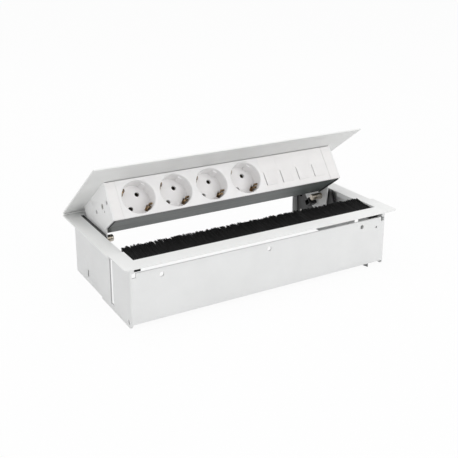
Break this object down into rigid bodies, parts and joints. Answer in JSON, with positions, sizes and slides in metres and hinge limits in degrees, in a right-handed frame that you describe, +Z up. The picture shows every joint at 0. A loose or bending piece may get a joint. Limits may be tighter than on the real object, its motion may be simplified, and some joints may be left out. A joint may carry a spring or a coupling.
{
  "type": "in-desk power module",
  "caption": "White flanged box for a desk cut-out whose lid tilts up with a row of earthed sockets and blank data modules over a black brush strip.",
  "frame": {"origin": "centre of the flange at desk level, on the plane of the flange's underside", "axes": "+X along the module to the right as its user sees it, +Y to the rear where the lid pivots, +Z up out of the desk"},
  "size_m": [0.343, 0.186, 0.1522],
  "materials": {
    "frame_paint": "satin white powder coat",
    "box_paint": "satin white powder coat",
    "lid_paint": "satin white powder coat",
    "unit_paint": "satin white powder coat",
    "housing_grey": "matt grey coat",
    "guide_black": "moulded",
    "brush_rail_black": "moulded",
    "bristle_black": "nylon bristles",
    "gasket_black": "matt",
    "socket_white": "moulded, low gloss",
    "blank_white": "moulded, low gloss",
    "contact_brass": "bare",
    "carrier_grey": "moulded",
    "pin_steel": "bare, dull",
    "screw_steel": "zinc plated",
    "inlet_black": "moulded",
    "foot_black": "matt"
  },
  "bodies": {
    "frame": {"top_frame": "frame_paint", "front_shell": "box_paint", "side_panel_left": "box_paint", "side_panel_right": "box_paint", "front_foot": "foot_black", "brush_rail": "brush_rail_black", "brush_bristles": "bristle_black", "guide_plate_left": "guide_black", "guide_plate_right": "guide_black", "guide_screws_left": "screw_steel", "guide_screws_right": "screw_steel"},
    "power_unit": {"lid": "lid_paint", "unit_housing": "housing_grey", "end_plate_left": "unit_paint", "end_plate_right": "unit_paint", "lid_rivets_left": "screw_steel", "lid_rivets_right": "screw_steel", "end_screw_left": "screw_steel", "end_screw_right": "screw_steel", "end_gasket_left": "gasket_black", "end_gasket_right": "gasket_black", "guide_pin_left": "pin_steel", "guide_pin_right": "pin_steel", "rear_pin_left": "pin_steel", "rear_pin_right": "pin_steel", "contact_rail_1": "contact_brass", "contact_rail_2": "contact_brass", "contact_carrier": "carrier_grey", "end_strip_left": "blank_white", "end_strip_right": "blank_white", "power_inlet": "inlet_black", "terminal_block": "carrier_grey", "socket_insert_1": "socket_white", "earth_strap_1": "contact_brass", "blank_module_1": "blank_white", "socket_insert_2": "socket_white", "earth_strap_2": "contact_brass", "blank_module_2": "blank_white", "socket_insert_3": "socket_white", "earth_strap_3": "contact_brass", "blank_module_3": "blank_white", "socket_insert_4": "socket_white", "earth_strap_4": "contact_brass", "blank_module_4": "blank_white"}
  },
  "joints": [
    {"name": "unit_tilt", "type": "hinge", "parent": "frame", "child": "power_unit", "pos_m": [0, 0.0915, 0.0017], "axis": [1, 0, 0], "range_deg": [0, 36.3]}
  ]
}
